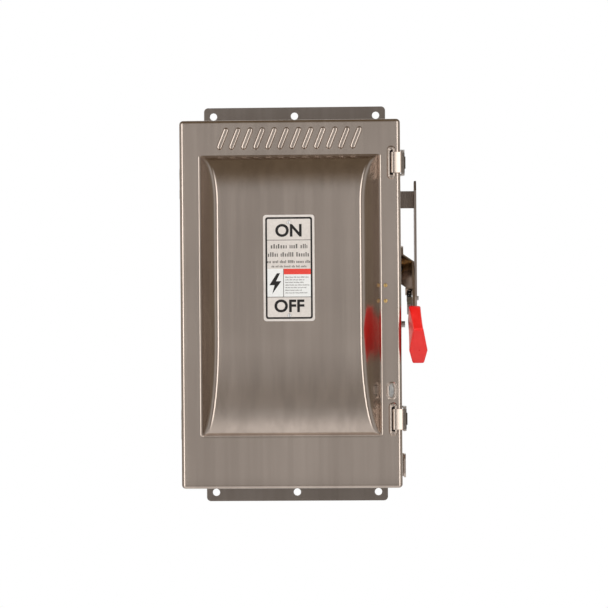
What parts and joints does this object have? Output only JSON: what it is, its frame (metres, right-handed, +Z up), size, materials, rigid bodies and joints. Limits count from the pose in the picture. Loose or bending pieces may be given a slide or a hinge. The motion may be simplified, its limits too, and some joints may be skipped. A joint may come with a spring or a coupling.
{
  "type": "ac disconnect box",
  "caption": "Wall-mounted stainless enclosed safety switch with a domed hinged cover, two claw latches, a guarded side lever with a red grip, and a fused knife switch inside.",
  "frame": {"origin": "centre of the mounting plate's back face, which lies on the wall", "axes": "+Z up, +Y into the wall (the front faces -Y), +X to the lever side"},
  "size_m": [0.3482, 0.2259, 0.582],
  "materials": {
    "stainless": "warm brushed stainless sheet, satin",
    "zinc": "bright zinc plate",
    "dark_steel": "dark phosphate and oil",
    "brass": "plain brass",
    "copper": "bare copper, tin-flashed at the lugs",
    "aluminium": "plain aluminium",
    "spring_steel": "oiled black spring wire",
    "red_grip": "dipped red vinyl",
    "black_rubber": "closed-cell neoprene",
    "black_moulded": "moulded thermoset",
    "red_moulded": "red-brown moulded insulator",
    "fuse_tube": "melamine tube with metal ends",
    "clear_shield": "fish-paper barrier, pale",
    "plate_print": "pale printed aluminium plate"
  },
  "bodies": {
    "enclosure": {"mounting_plate": "stainless", "body_pan": "stainless", "hinge_leaf_upper": "stainless", "hinge_leaf_lower": "stainless", "hinge_pin_upper": "zinc", "hinge_pin_lower": "zinc", "latch_bracket_upper": "stainless", "latch_bracket_lower": "stainless", "latch_pin_upper": "zinc", "latch_pin_lower": "zinc", "padlock_hasp": "stainless", "handle_guard": "stainless", "guard_screw_upper": "zinc", "guard_screw_lower": "zinc", "guard_rivet": "aluminium", "shaft_bushing": "brass", "shaft_seal": "black_rubber", "stop_stud": "zinc", "switch_base": "red_moulded", "fuse_base": "red_moulded", "mechanism_frame": "zinc", "arc_shield": "clear_shield", "ground_bar": "aluminium", "line_jaw_1": "copper", "line_jaw_2": "copper", "line_jaw_3": "copper", "fuse_clip_upper_1": "copper", "fuse_clip_upper_2": "copper", "fuse_clip_upper_3": "copper", "fuse_clip_lower_1": "copper", "fuse_clip_lower_2": "copper", "fuse_clip_lower_3": "copper", "fuse_1": "fuse_tube", "fuse_2": "fuse_tube", "fuse_3": "fuse_tube"},
    "cover": {"door": "stainless", "door_gasket": "black_rubber", "nameplate": "plate_print", "nameplate_rivet_upper": "aluminium", "nameplate_rivet_lower": "aluminium", "door_interlock_bracket": "zinc", "bracket_screw_upper": "brass", "bracket_screw_lower": "brass"},
    "release": {"interlock_release": "zinc"},
    "claw_upper": {"latch_claw_upper": "stainless"},
    "claw_lower": {"latch_claw_lower": "stainless"},
    "lever": {"handle_arm": "stainless", "handle_grip": "red_grip", "handle_shaft": "zinc", "drive_crank": "dark_steel", "lock_plate_spring": "spring_steel"},
    "lock": {"lock_plate": "zinc"},
    "knives": {"rotor_bar": "black_moulded", "blade_1": "copper", "blade_2": "copper", "blade_3": "copper"},
    "toggle": {"toggle_spring": "spring_steel"},
    "interlock": {"interlock_lever": "zinc"}
  },
  "joints": [
    {"name": "door_hinge", "type": "hinge", "parent": "enclosure", "child": "cover", "pos_m": [-0.1542, -0.153, 0], "axis": [0, 0, -1], "range_deg": [0, 120]},
    {"name": "release_slide", "type": "slide", "parent": "cover", "child": "release", "axis": [0, 0, 1], "range_m": [-0.003, 0.003]},
    {"name": "latch_upper", "type": "hinge", "parent": "enclosure", "child": "claw_upper", "pos_m": [0.1582, -0.171, 0.197], "axis": [0, 0, 1], "range_deg": [0, 85]},
    {"name": "latch_lower", "type": "hinge", "parent": "enclosure", "child": "claw_lower", "pos_m": [0.1582, -0.171, -0.162], "axis": [0, 0, 1], "range_deg": [0, 85]},
    {"name": "handle_swing", "type": "hinge", "parent": "enclosure", "child": "lever", "pos_m": [0.155, -0.073, 0.055], "axis": [-1, 0, 0], "range_deg": [0, 74]},
    {"name": "lock_slide", "type": "slide", "parent": "lever", "child": "lock", "axis": [0, 0.7547, 0.6561], "range_m": [0, 0.008], "stiffness_N_per_m": 300, "deforming": ["lock_plate_spring"]},
    {"name": "rotor_turn", "type": "hinge", "parent": "enclosure", "child": "knives", "pos_m": [0, -0.073, 0.055], "axis": [-1, 0, 0], "range_deg": [0, 55]},
    {"name": "toggle_swing", "type": "hinge", "parent": "enclosure", "child": "toggle", "pos_m": [0.118, -0.073, 0.115], "axis": [1, 0, 0], "range_deg": [0, 34.5]},
    {"name": "interlock_turn", "type": "hinge", "parent": "enclosure", "child": "interlock", "pos_m": [0.128, -0.09, 0.04], "axis": [-1, 0, 0], "range_deg": [0, 20]}
  ],
  "couplings": [
    {"joint": "rotor_turn", "follows": "handle_swing", "ratio": 0.743},
    {"joint": "toggle_swing", "follows": "handle_swing", "ratio": 0.466},
    {"joint": "interlock_turn", "follows": "handle_swing", "ratio": 0.27}
  ]
}
